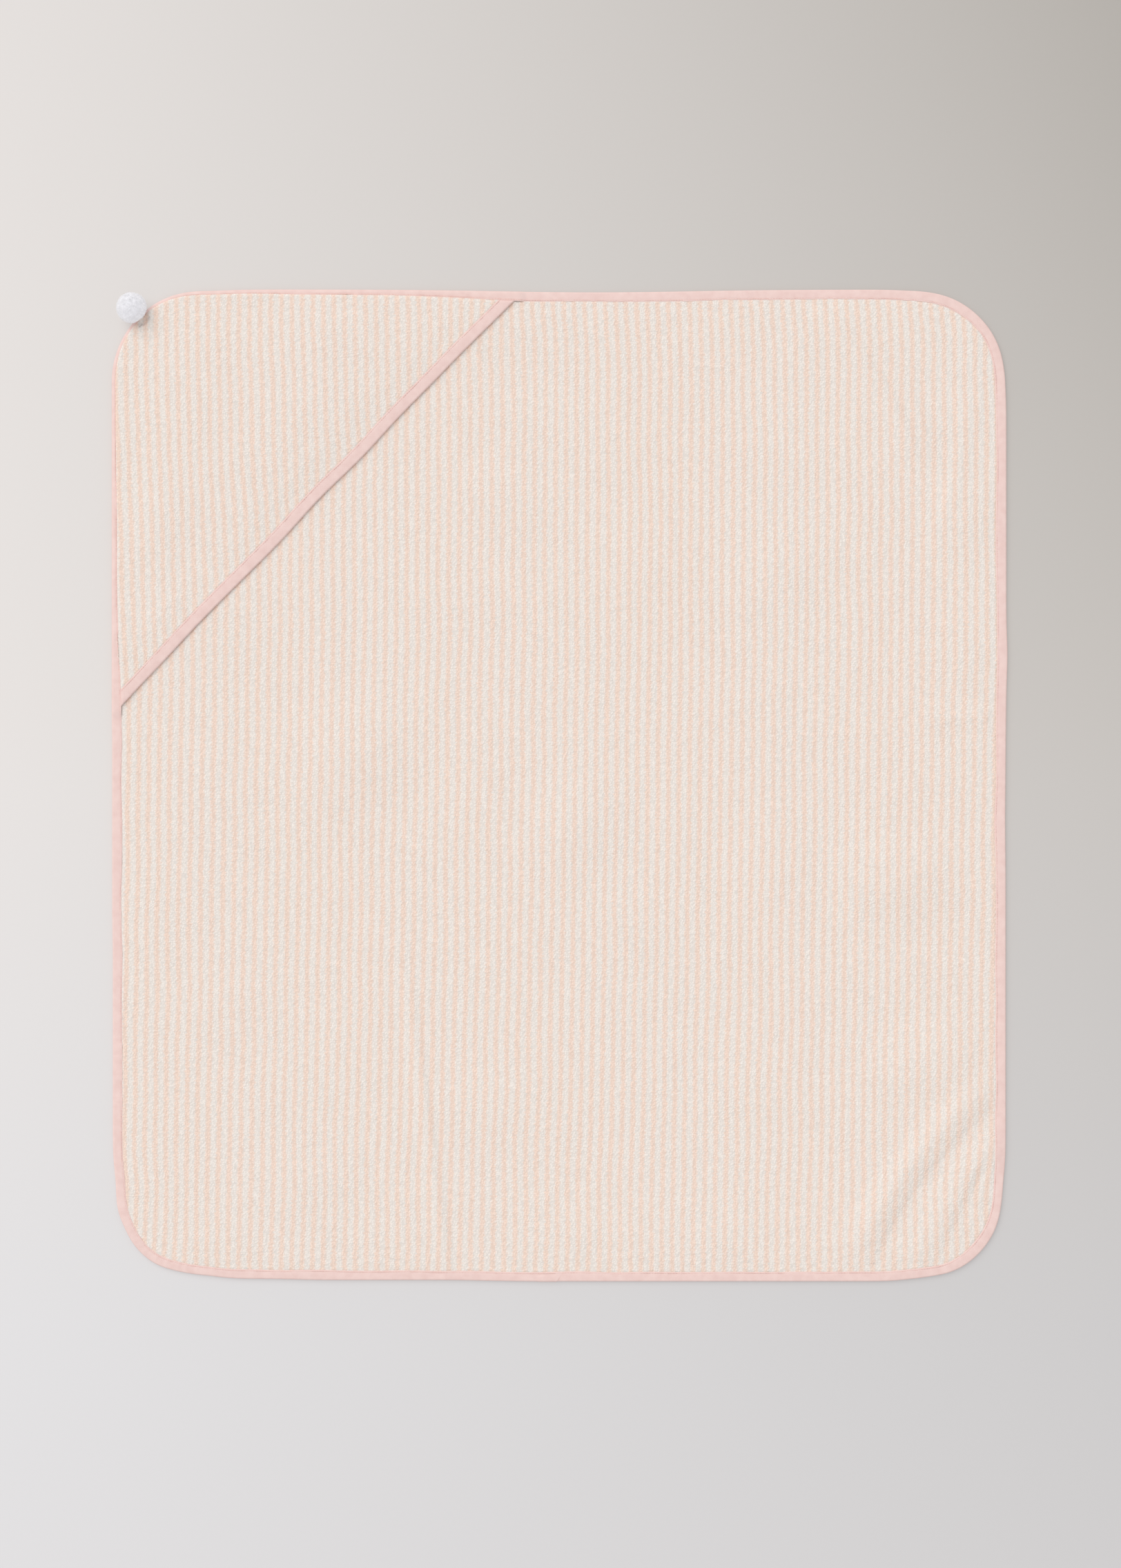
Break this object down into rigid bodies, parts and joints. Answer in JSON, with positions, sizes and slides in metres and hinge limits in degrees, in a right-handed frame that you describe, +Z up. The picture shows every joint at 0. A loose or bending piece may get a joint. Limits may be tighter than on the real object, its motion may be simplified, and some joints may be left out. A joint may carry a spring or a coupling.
{
  "type": "hooded baby towel",
  "caption": "Square terry bath towel with rounded bound edges, a triangular hood sewn over one corner and a yarn pompom on the hood's tip.",
  "frame": {"origin": "on the surface that the towel lies on, under the middle of the towel", "axes": "+Z up, out of the face that carries the hood; +Y along the towel's longer side, towards the hooded end; the hood is at the corner at -X, +Y"},
  "size_m": [0.75, 0.83, 0.0251],
  "materials": {
    "terry": "cotton terry loops, fine warp stripes in cream and peach",
    "tape": "matt plain-woven cotton bias tape, pale pink",
    "thread": "spun polyester sewing thread, pink",
    "yarn": "soft white yarn, trimmed to a ball"
  },
  "bodies": {
    "towel": {"body_panel": "terry", "hood_seam_allowance": "terry", "edge_binding": "tape", "edge_needle_thread": "thread", "edge_bobbin_thread": "thread"},
    "hood": {"hood_panel": "terry", "hood_edge_binding": "tape", "hood_needle_thread": "thread", "hood_bobbin_thread": "thread"},
    "tie": {"pompom_tie": "thread"},
    "ball": {"pompom": "yarn"}
  },
  "joints": [
    {"name": "hood_lift", "type": "hinge", "parent": "towel", "child": "hood", "pos_m": [-0.3464, 0.38474, 0.0033], "axis": [-0.695, -0.7191, 0], "range_deg": [0, 20]},
    {"name": "pompom_tilt", "type": "hinge", "parent": "towel", "child": "tie", "pos_m": [-0.35063, 0.39063, 0.00285], "axis": [0.7071, 0.7071, 0], "range_deg": [-100, 45]},
    {"name": "pompom_twist", "type": "hinge", "parent": "tie", "child": "ball", "pos_m": [-0.35063, 0.39063, 0.00285], "axis": [-0.5302, 0.5302, 0.6616], "range_deg": [-180, 180]}
  ]
}
